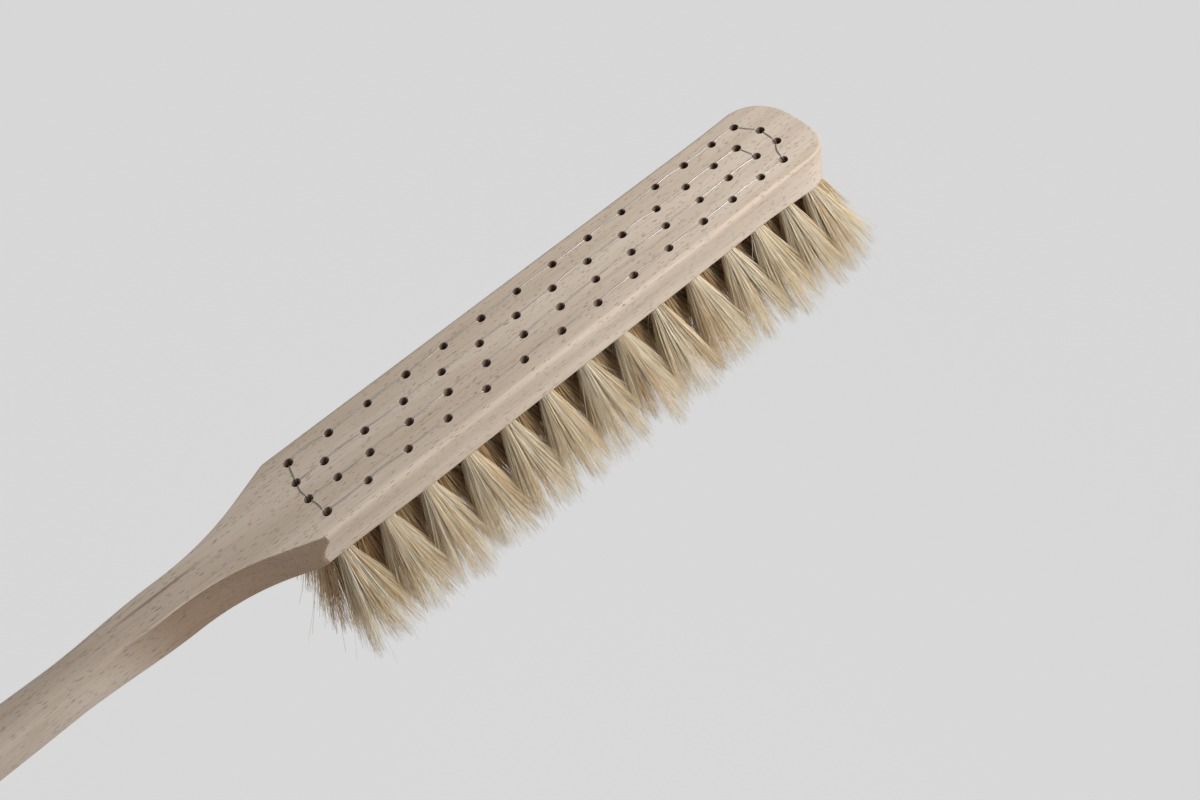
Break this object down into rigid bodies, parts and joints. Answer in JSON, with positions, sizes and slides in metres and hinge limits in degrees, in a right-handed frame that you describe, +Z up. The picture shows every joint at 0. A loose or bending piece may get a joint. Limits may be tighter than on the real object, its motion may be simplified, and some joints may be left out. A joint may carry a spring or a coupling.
{
  "type": "clothes brush",
  "caption": "Hand-drawn clothes brush: beech head and long handle in one piece, with rows of pale hair tufts held by a steel wire laced over the back.",
  "frame": {"origin": "on the plane of the hair tips, below the middle of the bounding box", "axes": "+X along the brush from the handle to the nose, +Z up out of the back of the board, +Y to the left of +X; the brush stands on its hair tips"},
  "size_m": [0.3676, 0.072, 0.0531],
  "materials": {
    "beech": "sanded untreated beech, pinkish cream with short darker ray flecks",
    "hair": "pale natural bristle, ochre at the root and lighter at the tip",
    "steel_wire": "bright drawn steel wire"
  },
  "bodies": {
    "root": {"beech_block": "beech", "draw_wire": "steel_wire", "tuft_left_01": "hair", "tuft_left_02": "hair", "tuft_left_03": "hair", "tuft_left_04": "hair", "tuft_left_05": "hair", "tuft_left_06": "hair", "tuft_left_07": "hair", "tuft_left_08": "hair", "tuft_left_09": "hair", "tuft_left_10": "hair", "tuft_left_11": "hair", "tuft_left_12": "hair", "tuft_left_13": "hair", "tuft_left_14": "hair", "tuft_midleft_01": "hair", "tuft_midleft_02": "hair", "tuft_midleft_03": "hair", "tuft_midleft_04": "hair", "tuft_midleft_05": "hair", "tuft_midleft_06": "hair", "tuft_midleft_07": "hair", "tuft_midleft_08": "hair", "tuft_midleft_09": "hair", "tuft_midleft_10": "hair", "tuft_midleft_11": "hair", "tuft_midleft_12": "hair", "tuft_midleft_13": "hair", "tuft_midleft_14": "hair", "tuft_midright_01": "hair", "tuft_midright_02": "hair", "tuft_midright_03": "hair", "tuft_midright_04": "hair", "tuft_midright_05": "hair", "tuft_midright_06": "hair", "tuft_midright_07": "hair", "tuft_midright_08": "hair", "tuft_midright_09": "hair", "tuft_midright_10": "hair", "tuft_midright_11": "hair", "tuft_midright_12": "hair", "tuft_midright_13": "hair", "tuft_midright_14": "hair", "tuft_nose_left": "hair", "tuft_nose_right": "hair", "tuft_right_01": "hair", "tuft_right_02": "hair", "tuft_right_03": "hair", "tuft_right_04": "hair", "tuft_right_05": "hair", "tuft_right_06": "hair", "tuft_right_07": "hair", "tuft_right_08": "hair", "tuft_right_09": "hair", "tuft_right_10": "hair", "tuft_right_11": "hair", "tuft_right_12": "hair", "tuft_right_13": "hair", "tuft_right_14": "hair"}
  },
  "joints": []
}
